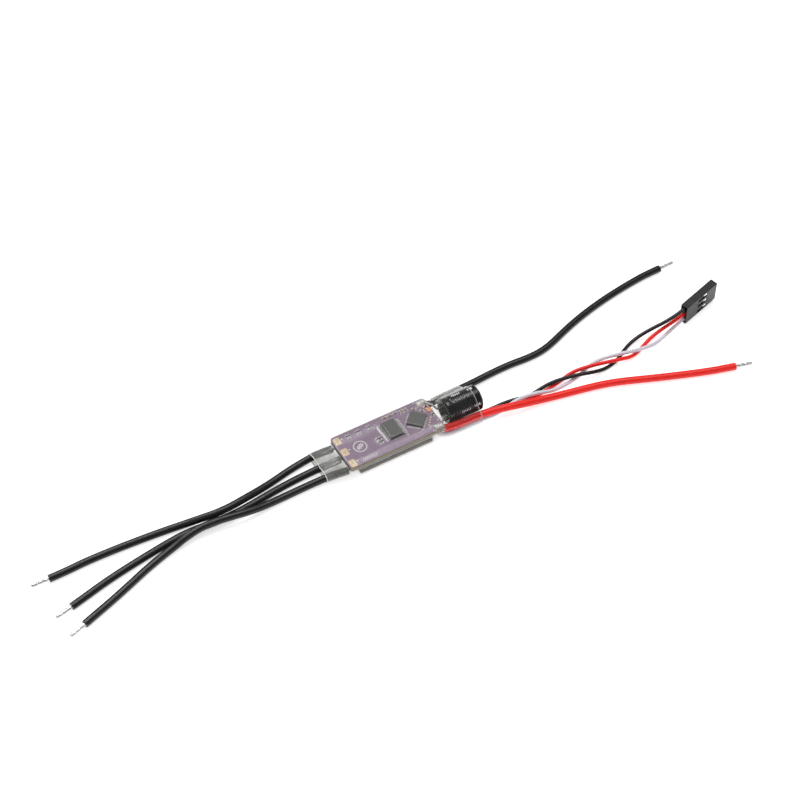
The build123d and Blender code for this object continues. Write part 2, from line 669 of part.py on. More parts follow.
# ---------------------------------------------------------------- clear heat-shrink sleeve
# Each section: its X, then six corner circles (y, z, radius) of the bore, counter-clockwise
# seen from +X: near bottom, far bottom, far shoulder, far roof, near roof, near shoulder.
sleeve_sections = [
    (-23.2, [(-3.7, 1.5, 1.2), (5.7, 1.5, 1.2), (5.7, 1.9, 1.2),
             (3.4, 2.8, 1.2), (-1.9, 2.7, 1.2), (-3.7, 1.9, 1.2)]),
    (-17.3, [(-5.1, 2.45, 1.2), (5.2, 2.45, 1.2), (5.3, 3.3, 1.2),
             (4.6, 3.6, 1.2), (-4.0, 3.6, 1.2), (-5.1, 3.3, 1.2)]),
    (-16.05, [(-6.2, 1.7, 0.4), (6.2, 1.7, 0.4), (6.5, 4.7, 0.2),
              (5.7, 4.85, 0.2), (-5.7, 4.85, 0.2), (-6.5, 4.7, 0.2)]),
    (-12.9, [(-6.2, 0.7, 0.4), (6.2, 0.7, 0.4), (6.5, 4.7, 0.2),
             (5.5, 5.05, 0.2), (-5.5, 5.05, 0.2), (-6.5, 4.7, 0.2)]),
    (-2.4, [(-6.2, 0.7, 0.4), (6.2, 0.7, 0.4), (6.5, 4.7, 0.2),
            (5.2, 5.25, 0.2), (-5.2, 5.25, 0.2), (-6.5, 4.7, 0.2)]),
    (-0.8, [(-6.2, 0.7, 0.4), (6.2, 0.7, 0.4), (6.5, 4.7, 0.2),
            (4.2, 5.7, 0.3), (-4.2, 5.7, 0.3), (-6.5, 4.7, 0.2)]),
    (13.0, [(-6.2, 0.7, 0.4), (6.2, 0.7, 0.4), (6.5, 4.7, 0.2),
            (4.6, 5.7, 0.3), (-4.6, 5.7, 0.3), (-6.5, 4.7, 0.2)]),
    (16.15, [(-6.3, 1.0, 0.7), (5.6, 1.3, 1.0), (6.5, 4.7, 0.2),
             (5.5, 5.4, 0.3), (-5.5, 5.4, 0.3), (-6.5, 4.7, 0.2)]),
    (18.4, [(-6.85, 0.95, 0.65), (5.9, 1.55, 1.25), (5.6, 2.5, 1.25),
            (-0.7, 4.35, 4.05), (-1.3, 4.35, 4.05), (-6.2, 2.85, 1.25)]),
    (28.3, [(-6.85, 0.95, 0.65), (6.3, 1.55, 1.25), (6.3, 1.75, 1.25),
            (-0.7, 4.35, 4.05), (-1.3, 4.35, 4.05), (-6.3, 2.8, 1.25)]),
]


def tangent_outline(circles, grow):
    """Belt round six circles: straight tangents joined by arcs; grow adds to every radius."""
    corners = [(Vector(y, z), r + grow) for y, z, r in circles]
    normals = []
    for (start, r0), (stop, r1) in zip(corners, corners[1:] + corners[:1]):
        run = stop - start
        lean = math.asin((r0 - r1) / run.length)
        direction = math.atan2(run.Y, run.X) - math.pi / 2 + lean
        normals.append(direction)
    with BuildLine() as belt:
        for i, (centre, r) in enumerate(corners):
            a0 = normals[i - 1]
            a1 = normals[i] if normals[i] > a0 else normals[i] + 2 * math.pi
            first, middle, last = (
                centre + Vector(math.cos(a), math.sin(a)) * r for a in (a0, (a0 + a1) / 2, a1)
            )
            ThreePointArc(first, middle, last)
            following, r_next = corners[(i + 1) % len(corners)]
            Line(last, following + Vector(math.cos(a1), math.sin(a1)) * r_next)
    return belt.line


def sleeve_solid(sections, grow):
    """Ruled solid through the given sections."""
    with BuildPart() as solid:
        for x, circles in sections:
            outline = tangent_outline(circles, grow)
            with BuildSketch(Plane(origin=(x, 0, 0), x_dir=(0, 1, 0), z_dir=(1, 0, 0))):
                with BuildLine():
                    add(outline)
                make_face()
        loft(ruled=True)
    return solid.part


sleeve_mouth, sleeve_tail = sleeve_sections[0], sleeve_sections[-1]
bore_sections = (
    [(sleeve_mouth[0] - 1, sleeve_mouth[1])] + sleeve_sections + [(sleeve_tail[0] + 1, sleeve_tail[1])]
)
with BuildPart() as heat_shrink_sleeve:
    add(sleeve_solid(sleeve_sections, sleeve_wall))
    add(sleeve_solid(bore_sections, 0), mode=Mode.SUBTRACT)
write(heat_shrink_sleeve.part, "heat_shrink_sleeve")
print(f"sleeve volume {heat_shrink_sleeve.part.volume:.1f}, box {heat_shrink_sleeve.part.bounding_box()}")
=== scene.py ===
"""Brushless-motor electronic speed controller in clear heat-shrink film, on a pale floor."""
import json
import math

import bpy
import bmesh
import numpy as np
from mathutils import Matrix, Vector
from mathutils.bvhtree import BVHTree


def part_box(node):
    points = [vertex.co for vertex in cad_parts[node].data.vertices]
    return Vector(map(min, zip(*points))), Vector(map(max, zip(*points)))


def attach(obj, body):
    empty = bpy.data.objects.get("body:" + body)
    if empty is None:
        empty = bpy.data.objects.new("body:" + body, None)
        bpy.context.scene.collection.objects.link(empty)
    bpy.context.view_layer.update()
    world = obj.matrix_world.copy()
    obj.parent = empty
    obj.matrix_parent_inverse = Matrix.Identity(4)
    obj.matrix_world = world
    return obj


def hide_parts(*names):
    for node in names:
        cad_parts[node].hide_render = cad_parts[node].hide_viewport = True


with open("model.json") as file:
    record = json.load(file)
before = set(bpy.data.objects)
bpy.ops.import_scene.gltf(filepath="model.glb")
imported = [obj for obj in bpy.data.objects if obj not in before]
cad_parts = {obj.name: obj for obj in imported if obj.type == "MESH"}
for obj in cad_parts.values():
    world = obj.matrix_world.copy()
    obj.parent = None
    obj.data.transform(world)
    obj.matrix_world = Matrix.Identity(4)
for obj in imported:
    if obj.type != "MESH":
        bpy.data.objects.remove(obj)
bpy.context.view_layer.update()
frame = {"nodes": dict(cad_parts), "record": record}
NODES = frame["nodes"]
MM = 0.001

# ---------------------------------------------------------------- wire routes, control points
MOTOR_WIRE_FAR_ROUTE = [
    (-0.0163, 0.00445, 0.00255), (-0.0188, 0.0047, 0.00255), (-0.0218, 0.0053, 0.0019),
    (-0.0256, 0.00535, 0.0013), (-0.0308, 0.0047, 0.00115), (-0.037, 0.0033, 0.0012),
    (-0.0426, 0.0019, 0.00195), (-0.0474, 0.00075, 0.00285), (-0.052, -0.00005, 0.00315),
    (-0.057, -0.0001, 0.00315), (-0.0618, 0.001, 0.00245), (-0.0664, 0.0023, 0.00135),
    (-0.0718, 0.0031, 0.00115), (-0.0795, 0.00375, 0.00115), (-0.0875, 0.00425, 0.00115),
    (-0.096, 0.0045, 0.00115), (-0.1026, 0.0042, 0.00115), (-0.1072, 0.0043, 0.00115),
]
MOTOR_WIRE_MIDDLE_ROUTE = [
    (-0.0163, -0.00025, 0.00255), (-0.0188, -0.00015, 0.00255), (-0.0218, 0.00035, 0.00185),
    (-0.026, 0.0008, 0.0012), (-0.0315, 0.0006, 0.00115), (-0.038, 0.0, 0.00115),
    (-0.045, -0.00095, 0.00115), (-0.0515, -0.0015, 0.00115), (-0.0575, -0.00145, 0.00115),
    (-0.0625, -0.00105, 0.00115), (-0.0675, -0.0009, 0.00115), (-0.073, -0.00135, 0.00115),
    (-0.08, -0.00235, 0.00115), (-0.0875, -0.00355, 0.00115), (-0.0945, -0.0049, 0.00115),
    (-0.1006, -0.00645, 0.00115), (-0.1056, -0.00765, 0.00115),
]
MOTOR_WIRE_NEAR_ROUTE = [
    (-0.0163, -0.005, 0.00255), (-0.0188, -0.00465, 0.00255), (-0.0218, -0.0038, 0.0019),
    (-0.026, -0.0032, 0.00125), (-0.0315, -0.00315, 0.00115), (-0.038, -0.00335, 0.0012),
    (-0.0438, -0.00375, 0.0018), (-0.0486, -0.00385, 0.0026), (-0.0534, -0.0034, 0.00315),
    (-0.0584, -0.0027, 0.0032), (-0.0632, -0.0024, 0.003), (-0.0678, -0.00298, 0.0025),
    (-0.072, -0.0037, 0.00155), (-0.0766, -0.00475, 0.00115), (-0.0825, -0.0067, 0.00115),
    (-0.089, -0.00925, 0.00115), (-0.0958, -0.01175, 0.00115), (-0.101, -0.0135, 0.00115),
    (-0.1049, -0.01485, 0.00115),
]
BATTERY_WIRE_BLACK_ROUTE = [
    (0.0164, 0.0051, 0.00255), (0.0194, 0.00535, 0.00255), (0.0234, 0.006, 0.002),
    (0.0286, 0.0063, 0.0016), (0.0345, 0.00675, 0.00125), (0.041, 0.00725, 0.00115),
    (0.0477, 0.00735, 0.00115), (0.053, 0.0069, 0.00115), (0.0582, 0.007, 0.00115),
    (0.063, 0.0081, 0.00115), (0.0702, 0.0109, 0.00115), (0.0778, 0.01335, 0.00115),
    (0.0864, 0.01545, 0.00115), (0.0951, 0.01695, 0.00115), (0.103, 0.01795, 0.00115),
    (0.1072, 0.0182, 0.00115), (0.1111, 0.01825, 0.00115),
]
BATTERY_WIRE_RED_ROUTE = [
    (0.0164, -0.00535, 0.00255), (0.0187, -0.00595, 0.00275), (0.0226, -0.00625, 0.0028),
    (0.0278, -0.0063, 0.0028), (0.0326, -0.0071, 0.0028), (0.0373, -0.0082, 0.0029),
    (0.0422, -0.00905, 0.0023), (0.0476, -0.0096, 0.00145), (0.0534, -0.0107, 0.00115),
    (0.0604, -0.0121, 0.00115), (0.067, -0.01355, 0.00115), (0.0728, -0.0154, 0.00115),
    (0.0815, -0.01905, 0.00115), (0.0902, -0.02255, 0.00115), (0.0984, -0.0256, 0.00115),
    (0.103, -0.027, 0.00115), (0.1069, -0.0281, 0.00115),
]
SIGNAL_WIRE_WHITE_ROUTE = [
    (0.0129, -0.003, 0.0022), (0.0141, -0.0047, 0.0013), (0.0156, -0.00605, 0.00095),
    (0.018, -0.00675, 0.00094), (0.0224, -0.00686, 0.00094), (0.0284, -0.00688, 0.00092),
    (0.033, -0.0071, 0.00065), (0.0369, -0.00702, 0.0013), (0.0408, -0.0065, 0.00197),
    (0.0446, -0.00645, 0.0019), (0.0486, -0.00725, 0.00195), (0.052, -0.00815, 0.00137),
    (0.056, -0.00795, 0.00065), (0.0604, -0.0075, 0.0006), (0.0646, -0.00645, 0.0006),
    (0.0684, -0.0049, 0.0006), (0.072, -0.00445, 0.00075), (0.0756, -0.0054, 0.00142),
    (0.079, -0.00665, 0.00197), (0.083, -0.00765, 0.00202), (0.0868, -0.00835, 0.0019),
    (0.0908, -0.0079, 0.00095), (0.0946, -0.00675, 0.00062), (0.0986, -0.0055, 0.0008),
    (0.1025, -0.00441, 0.00118), (0.10657, -0.00336, 0.00147),
]
SIGNAL_WIRE_RED_ROUTE = [
    (0.0134, -0.0013, 0.0023), (0.0148, -0.00295, 0.00145), (0.0164, -0.00445, 0.00099),
    (0.0186, -0.0055, 0.00095), (0.0224, -0.00561, 0.00094), (0.0284, -0.00564, 0.00092),
    (0.0334, -0.00582, 0.00062), (0.0374, -0.00574, 0.0006), (0.0412, -0.00615, 0.0006),
    (0.0448, -0.0071, 0.0006), (0.0484, -0.0071, 0.0006), (0.0522, -0.00665, 0.0006),
    (0.056, -0.006, 0.0006), (0.0592, -0.00525, 0.00065), (0.0624, -0.005, 0.0013),
    (0.066, -0.00575, 0.00195), (0.0702, -0.0066, 0.00195), (0.0744, -0.00765, 0.00192),
    (0.0784, -0.0085, 0.00175), (0.0818, -0.00865, 0.001), (0.0848, -0.00775, 0.0006),
    (0.0884, -0.0062, 0.0007), (0.0924, -0.00495, 0.00135), (0.0972, -0.00475, 0.0026),
    (0.10237, -0.00456, 0.00371), (0.10643, -0.00351, 0.004),
]
SIGNAL_WIRE_BLACK_ROUTE = [
    (0.0143, 0.0001, 0.0023), (0.0157, -0.00175, 0.0015), (0.0172, -0.00345, 0.00099),
    (0.0191, -0.00425, 0.00094), (0.0224, -0.00437, 0.00094), (0.0284, -0.0044, 0.00092),
    (0.0334, -0.00458, 0.00062), (0.0374, -0.0045, 0.0006), (0.0412, -0.0049, 0.0006),
    (0.0446, -0.0058, 0.0006), (0.0476, -0.0059, 0.00065), (0.0508, -0.00555, 0.0011),
    (0.0544, -0.0058, 0.00192), (0.059, -0.0064, 0.00195), (0.0632, -0.0073, 0.0019),
    (0.0674, -0.0084, 0.0016), (0.0714, -0.00865, 0.00085), (0.075, -0.00805, 0.0006),
    (0.0782, -0.0069, 0.0006), (0.0812, -0.00515, 0.0006), (0.0842, -0.00375, 0.00065),
    (0.088, -0.00295, 0.0012), (0.0926, -0.0033, 0.0026), (0.0974, -0.0045, 0.0046),
    (0.10222, -0.00471, 0.00624), (0.10628, -0.00367, 0.00653),
]

# outer diameters of the insulated wires, then the bared tips of the power wires
POWER_WIRE = 0.0023
SIGNAL_WIRE = 0.0012
TIP_RADIUS = 0.0006
TIP_LENGTH = 5.38 * MM
TIP_STRANDS = 7
TIP_TWIST = 3.2    # radians over the tip
GROOVE_DEPTH = 0.09    # share of the tip's radius


# ---------------------------------------------------------------- camera
CAMERA_TARGET = Vector((0.01175, 0.01281, 0.0))
CAMERA_DISTANCE = 0.6063
CAMERA_AZIMUTH = math.radians(-30.34)
CAMERA_ELEVATION = math.radians(48.9)
CAMERA_LENS = 90.12    # millimetres, on a sensor 36 mm wide


def make_camera():
    """Camera at the photograph's viewing angle."""
    back = Vector((
        math.sin(CAMERA_AZIMUTH) * math.cos(CAMERA_ELEVATION),
        -math.cos(CAMERA_AZIMUTH) * math.cos(CAMERA_ELEVATION),
        math.sin(CAMERA_ELEVATION),
    ))
    data = bpy.data.cameras.new("camera")
    data.lens = CAMERA_LENS
    data.sensor_width = 36
    data.clip_start, data.clip_end = 0.01, 20
    camera = bpy.data.objects.new("camera", data)
    camera.location = CAMERA_TARGET + back * CAMERA_DISTANCE
    camera.rotation_mode = "QUATERNION"
    camera.rotation_quaternion = (-back).to_track_quat("-Z", "Y")
    bpy.context.scene.collection.objects.link(camera)
    bpy.context.scene.camera = camera


make_camera()


# ---------------------------------------------------------------- material tools
def new_material(name):
    """Empty node material: its node tree and its shader, already joined to the output."""
    material = bpy.data.materials.new(name)
    material.use_nodes = True
    tree = material.node_tree
    tree.nodes.clear()
    output = tree.nodes.new("ShaderNodeOutputMaterial")
    shader = tree.nodes.new("ShaderNodeBsdfPrincipled")
    tree.links.new(shader.outputs[0], output.inputs["Surface"])
    return material, tree, shader


def node(tree, kind, inputs=(), **settings):
    """Node with its properties set; inputs maps a socket's name or number to a value or a socket."""
    made = tree.nodes.new("ShaderNode" + kind)
    for key, value in settings.items():
        setattr(made, key, value)
    for key, value in dict(inputs).items():
        if isinstance(value, bpy.types.NodeSocket):
            tree.links.new(value, made.inputs[key])
        else:
            made.inputs[key].default_value = value
    return made


def place(tree):
    """Position on the object, in metres."""
    return node(tree, "TexCoord").outputs["Object"]


def noise(tree, size, detail=3.0, rough=0.5, stretch=(1, 1, 1)):
    """Noise whose blobs are about that many metres across, stretched by the given factors."""
    scaled = node(tree, "Mapping", {"Vector": place(tree), "Scale": [1 / s for s in stretch]})
    made = node(tree, "TexNoise", {
        "Vector": scaled.outputs[0], "Scale": 1 / size, "Detail": detail, "Roughness": rough,
    })
    return made.outputs[0]


def span(tree, value, low, high, to_low=0.0, to_high=1.0):
    """Value mapped from low..high to to_low..to_high, clamped."""
    return node(tree, "MapRange", {
        0: value, 1: low, 2: high, 3: to_low, 4: to_high,
    }).outputs[0]


def mixed(tree, factor, a, b):
    """Colour between a and b."""
    made = node(tree, "Mix", {0: factor, 6: a, 7: b}, data_type="RGBA")
    return made.outputs[2]


def math_node(tree, operation, a, b=0.0):
    """Result of one sum on two values or sockets."""
    return node(tree, "Math", {0: a, 1: b}, operation=operation).outputs[0]


def rgb(r, g, b):
    """Linear colour from display values 0 to 255."""
    shares = [v / 255 for v in (r, g, b)]
    linear = [v / 12.92 if v <= 0.04 else ((v + 0.055) / 1.055) ** 2.4 for v in shares]
    return (*linear, 1.0)


def bump(tree, shader, height, depth, strength=1.0):
    """Surface relief of that many metres."""
    made = node(tree, "Bump", {"Strength": strength, "Distance": depth, "Height": height})
    tree.links.new(made.outputs[0], shader.inputs["Normal"])


def settings(shader, **values):
    """Plain values on the shader's own sockets."""
    for key, value in values.items():
        shader.inputs[key.replace("_", " ").title().replace("Ior", "IOR")].default_value = value


def two_tone(name, dark, light, size, roughness, relief=0.0, relief_size=None, stretch=(1, 1, 1),
             **plain):
    """Material whose colour and roughness wander a little, with a fine relief."""
    material, tree, shader = new_material(name)
    cloud = noise(tree, size, 4.0, 0.6, stretch)
    tree.links.new(mixed(tree, span(tree, cloud, 0.3, 0.7), dark, light), shader.inputs["Base Color"])
    rough = span(tree, cloud, 0.25, 0.75, roughness[0], roughness[1])
    tree.links.new(rough, shader.inputs["Roughness"])
    if relief:
        bump(tree, shader, noise(tree, relief_size or size, 3.0, 0.6, stretch), relief)
    settings(shader, **plain)
    return material


# ---------------------------------------------------------------- materials
def silicone(name, dark, light, dust, roughness):
    """Silicone wire insulation: satin, faintly dusty, with a very fine extruded grain."""
    material, tree, shader = new_material(name)
    cloud = noise(tree, 0.004, 4.0, 0.6)
    base = mixed(tree, span(tree, cloud, 0.3, 0.7), dark, light)
    specks = span(tree, noise(tree, 0.00022, 2.0, 0.5), 0.70, 0.78)
    tree.links.new(mixed(tree, specks, base, dust), shader.inputs["Base Color"])
    rough = span(tree, cloud, 0.2, 0.8, roughness - 0.04, roughness + 0.08)
    tree.links.new(rough, shader.inputs["Roughness"])
    bump(tree, shader, noise(tree, 0.00025, 4.0, 0.6), 0.00002)
    settings(shader, specular_ior_level=0.4)
    return material


def tinned(name, tint, roughness, metallic):
    """Bright tinned metal or solder, slightly rippled."""
    material, tree, shader = new_material(name)
    cloud = noise(tree, 0.0007, 4.0, 0.6)
    shade = mixed(tree, span(tree, cloud, 0.3, 0.7), rgb(*[v * 0.86 for v in tint]), rgb(*tint))
    tree.links.new(shade, shader.inputs["Base Color"])
    rough = span(tree, cloud, 0.2, 0.8, roughness - 0.07, roughness + 0.1)
    tree.links.new(rough, shader.inputs["Roughness"])
    bump(tree, shader, noise(tree, 0.00035, 3.0, 0.5), 0.00003)
    settings(shader, metallic=metallic)
    return material


def board_material():
    """Purple solder mask over copper on both faces, laminate at the cut edges."""
    material, tree, shader = new_material("solder_mask")
    cloud = noise(tree, 0.0025, 4.0, 0.6)
    mask = mixed(tree, span(tree, cloud, 0.3, 0.7), rgb(163, 138, 167), rgb(177, 153, 179))
    weave = noise(tree, 0.00012, 2.0, 0.5, (6, 1, 1))
    layers = noise(tree, 0.0002, 2.0, 0.5, (40, 40, 1))
    laminate = mixed(tree, span(tree, layers, 0.4, 0.6), rgb(98, 88, 66), rgb(126, 115, 90))
    facing = node(tree, "SeparateXYZ", {0: node(tree, "NewGeometry").outputs["Normal"]}).outputs[2]
    flat = span(tree, math_node(tree, "ABSOLUTE", facing), 0.5, 0.7)
    tree.links.new(mixed(tree, flat, laminate, mask), shader.inputs["Base Color"])
    tree.links.new(span(tree, flat, 0, 1, 0.75, 0.32), shader.inputs["Roughness"])
    bump(tree, shader, weave, 0.000006)
    settings(shader, coat_weight=0.25, coat_roughness=0.15)
    return material


FILM_MOUTHS = [corner.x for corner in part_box("heat_shrink_sleeve")]
CUT_EDGE = 0.3 * MM
# where the film leaves the board and necks down onto the wires, and where it climbs onto the capacitor
NECK = (-0.0172, -0.0158)
SHOULDER = (0.0165, 0.0176)
FILM_TINT = (0.995, 0.995, 0.99, 1)
OBLIQUE_TINT = (0.84, 0.84, 0.83, 1)
# painted shade: the film's downward faces let less through, greying the film underneath
UNDERSIDE_SHADE_TINT = (0.76, 0.76, 0.75, 1)
NECK_TINT = (0.86, 0.86, 0.855, 1)
HEAD_ON_MIRROR = 0.014
GRAZING_MIRROR = 0.95
FILM_HAZE = (0.001, 0.006)
NECK_HAZE = (0.05, 0.15)
SHOULDER_SHARE = 0.03    # of the neck's haze
OBLIQUE_HAZE = 0.16
# painted highlight: whiter haze along each cut edge stands in for its bright edge line
LEFT_EDGE_HIGHLIGHT = 0.6
RIGHT_EDGE_HIGHLIGHT = 0.25


def film_material():
    """Clear heat-shrink film: glossy, a trace of haze, greyer underneath as painted shade, whiter at its
    cut edges as a painted highlight.
    """
    material, tree, haze = new_material("clear_film")
    output = next(n for n in tree.nodes if n.type == "OUTPUT_MATERIAL")
    settings(haze, base_color=rgb(225, 225, 222), roughness=0.5)
    along = node(tree, "SeparateXYZ", {0: place(tree)}).outputs[0]
    neck = span(tree, along, *NECK, 1.0, 0.0)
    shoulder = span(tree, along, *SHOULDER, 0.0, SHOULDER_SHARE)

    # what shines through
    facing = node(tree, "SeparateXYZ", {0: node(tree, "NewGeometry").outputs["True Normal"]})
    # painted shade: faces turned down let less light through
    shaded_underside = span(tree, facing.outputs[2], -0.9, -0.2, 1.0, 0.0)
    oblique = math_node(tree, "POWER", node(tree, "LayerWeight").outputs["Facing"], 2.5)
    tint = mixed(tree, oblique, FILM_TINT, OBLIQUE_TINT)
    tint = mixed(tree, shaded_underside, tint, UNDERSIDE_SHADE_TINT)
    tint = node(tree, "Mix", {0: neck, 6: tint, 7: NECK_TINT}, data_type="RGBA", blend_type="MULTIPLY")
    clear = node(tree, "BsdfTransparent", {"Color": tint.outputs[2]})

    # what is mirrored, more of it at a grazing angle
    ripples = node(tree, "Bump", {
        "Strength": 0.5, "Distance": 0.00008, "Height": noise(tree, 0.0028, 2.0, 0.5),
    })
    gloss = node(tree, "BsdfAnisotropic", {"Roughness": 0.17, "Normal": ripples.outputs[0]})
    tilt = node(tree, "LayerWeight", {"Normal": ripples.outputs[0]}).outputs["Facing"]
    mirror = math_node(tree, "MULTIPLY", math_node(tree, "POWER", tilt, 5.0), GRAZING_MIRROR)
    mirror = math_node(tree, "ADD", mirror, HEAD_ON_MIRROR)
    reflecting = node(tree, "MixShader", {0: mirror, 1: clear.outputs[0], 2: gloss.outputs[0]})

    # haze, and a painted highlight along the two cut edges
    cloud = span(tree, noise(tree, 0.005, 3.0, 0.6), 0.3, 0.7, *FILM_HAZE)
    necked = span(tree, noise(tree, 0.0035, 3.0, 0.6), 0.3, 0.7, *NECK_HAZE)
    for share in (neck, shoulder):
        cloud = math_node(tree, "ADD", cloud, math_node(tree, "MULTIPLY", necked, share))
    cloud = math_node(tree, "ADD", cloud, math_node(tree, "MULTIPLY", oblique, OBLIQUE_HAZE))
    left, right = FILM_MOUTHS
    left_edge_highlight = span(tree, along, left + CUT_EDGE, left + 0.6 * CUT_EDGE)
    right_edge_highlight = span(tree, along, right - CUT_EDGE, right - 0.6 * CUT_EDGE)
    # painted highlight at the cut edges
    edge = math_node(tree, "MAXIMUM", math_node(tree, "MULTIPLY", left_edge_highlight, LEFT_EDGE_HIGHLIGHT),
                     math_node(tree, "MULTIPLY", right_edge_highlight, RIGHT_EDGE_HIGHLIGHT))
    amount = math_node(tree, "ADD", cloud, edge)
    film = node(tree, "MixShader", {0: amount, 1: reflecting.outputs[0], 2: haze.outputs[0]})
    tree.links.new(film.outputs[0], output.inputs["Surface"])
    return material


MATERIALS = {
    "silicone_black": silicone("silicone_black", rgb(12, 12, 13), rgb(20, 20, 21), rgb(48, 48, 48), 0.34),
    "silicone_red": silicone("silicone_red", rgb(226, 26, 20), rgb(236, 35, 27), rgb(240, 96, 86), 0.4),
    "signal_white": silicone("signal_white", rgb(203, 201, 211), rgb(215, 213, 223), rgb(184, 182, 190),
                             0.4),
    "tinned_copper": tinned("tinned_copper", (214, 213, 210), 0.24, 0.7),
    "solder": tinned("solder_tin", (250, 250, 250), 0.28, 0.25),
    "solder_mask_purple": board_material(),
    "gold_plate": two_tone("gold_plate", rgb(255, 224, 180), rgb(255, 238, 208), 0.0006, (0.3, 0.45),
                           0.00001, 0.0002),
    "chip_black": two_tone("chip_black", rgb(104, 104, 105), rgb(120, 120, 121), 0.0004, (0.45, 0.6),
                           0.00001, 0.00008),
    "resistor_black": two_tone("resistor_black", rgb(34, 34, 40), rgb(50, 50, 56), 0.0003, (0.3, 0.45),
                               0.000004, 0.0001),
    "ceramic_tan": two_tone("ceramic_tan", rgb(176, 146, 112), rgb(196, 168, 132), 0.0003, (0.35, 0.5),
                            0.000006, 0.0001),
    "led_orange": two_tone("led_orange", rgb(240, 140, 62), rgb(250, 166, 90), 0.0005, (0.3, 0.4)),
    "led_lens": two_tone("led_lens", rgb(236, 214, 170), rgb(246, 230, 196), 0.0003, (0.08, 0.14)),
    "gap_pad_grey": two_tone("gap_pad", rgb(128, 130, 134), rgb(148, 150, 154), 0.001, (0.7, 0.85),
                             0.00003, 0.0003),
    "anodised_plate": two_tone("anodised_plate", rgb(78, 69, 59), rgb(100, 90, 78), 0.0016, (0.32, 0.46),
                               0.00002, 0.0003, (12, 1, 1), metallic=0.1,
                               specular_ior_level=0.3),
    "can_aluminium": two_tone("can_aluminium", rgb(206, 207, 210), rgb(222, 223, 226), 0.0008, (0.3, 0.42),
                              0.00001, 0.0002, metallic=1.0),
    "bung_rubber": two_tone("bung_rubber", rgb(24, 24, 24), rgb(36, 36, 36), 0.0006, (0.75, 0.9),
                            0.00002, 0.0002),
    "winding": two_tone("winding", rgb(198, 190, 168), rgb(214, 206, 186), 0.0005, (0.6, 0.8)),
    "plug_grey": two_tone("plug_grey", rgb(24, 24, 26), rgb(33, 33, 35), 0.0012, (0.32, 0.45),
                          0.00001, 0.00012, specular_ior_level=0.3),
    "terminal_brass": two_tone("terminal_plated", rgb(236, 234, 228), rgb(246, 245, 242), 0.0005,
                               (0.2, 0.3), metallic=1.0),
    "capacitor_film_black": two_tone("capacitor_film", rgb(14, 14, 16), rgb(22, 22, 24), 0.003,
                                     (0.18, 0.28), 0.00002, 0.0012, specular_ior_level=0.3),
    "print_white": two_tone("print_white", rgb(240, 240, 246), rgb(252, 252, 255), 0.0003, (0.45, 0.6),
                            0.000004, 0.00008),
    "clear_film": film_material(),
}


# ---------------------------------------------------------------- geometry tools
def finish_piece(obj, slot, *replaced):
    """Give a new piece its material, its slot and its body."""
    obj.data.materials.clear()
    obj.data.materials.append(MATERIALS[slot])
    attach(obj, "root")
    if replaced:
        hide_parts(*replaced)
    return obj


def mesh_object(name, vertices, faces, smooth=True):
    """Linked object with that mesh."""
    mesh = bpy.data.meshes.new(name)
    mesh.from_pydata([tuple(v) for v in vertices], [], [tuple(f) for f in faces])
    mesh.validate()
    work = bmesh.new()
    work.from_mesh(mesh)
    bmesh.ops.recalc_face_normals(work, faces=work.faces)
    work.to_mesh(mesh)
    work.free()
    mesh.polygons.foreach_set("use_smooth", [smooth] * len(mesh.polygons))
    obj = bpy.data.objects.new(name, mesh)
    bpy.context.scene.collection.objects.link(obj)
    return obj


def tube_faces(rings, around, closed_ends=True, first=0):
    """Quads of a tube of rings with the same number of points, and its end caps."""
    faces = []
    for i in range(rings - 1):
        for j in range(around):
            a = first + i * around + j
            b = first + i * around + (j + 1) % around
            faces.append((a, b, b + around, a + around))
    if closed_ends:
        faces.append(tuple(first + j for j in range(around)))
        last = first + (rings - 1) * around
        faces.append(tuple(last + j for j in range(around)))
    return faces


# ---------------------------------------------------------------- free wires
WIRES = {
    "motor_wire_far": (MOTOR_WIRE_FAR_ROUTE, POWER_WIRE, "silicone_black"),
    "motor_wire_middle": (MOTOR_WIRE_MIDDLE_ROUTE, POWER_WIRE, "silicone_black"),
    "motor_wire_near": (MOTOR_WIRE_NEAR_ROUTE, POWER_WIRE, "silicone_black"),
    "battery_wire_black": (BATTERY_WIRE_BLACK_ROUTE, POWER_WIRE, "silicone_black"),
    "battery_wire_red": (BATTERY_WIRE_RED_ROUTE, POWER_WIRE, "silicone_red"),
    "signal_wire_white": (SIGNAL_WIRE_WHITE_ROUTE, SIGNAL_WIRE, "signal_white"),
    "signal_wire_red": (SIGNAL_WIRE_RED_ROUTE, SIGNAL_WIRE, "silicone_red"),
    "signal_wire_black": (SIGNAL_WIRE_BLACK_ROUTE, SIGNAL_WIRE, "silicone_black"),
}
# the plug and its terminals, listed under the signal wire each belongs to
PLUG_PIECES = {
    "signal_wire_white": ["connector_terminal_1", "connector_housing"],
    "signal_wire_red": ["connector_terminal_2"],
    "signal_wire_black": ["connector_terminal_3"],
}


def make_wire(name, route, diameter, slot):
    """Insulated wire as one smooth spline with a round section."""
    data = bpy.data.curves.new(name + "_insulation", "CURVE")
    data.dimensions = "3D"
    data.resolution_u = 10
    data.bevel_depth = diameter / 2
    data.bevel_resolution = 6
    data.use_fill_caps = True
    spline = data.splines.new("NURBS")
    spline.points.add(len(route) - 1)
    for point, spot in zip(spline.points, route):
        point.co = (*spot, 1.0)
    spline.order_u = 3
    spline.use_endpoint_u = True
    obj = bpy.data.objects.new(name + "_insulation", data)
    bpy.context.scene.collection.objects.link(obj)
    return finish_piece(obj, slot, name)


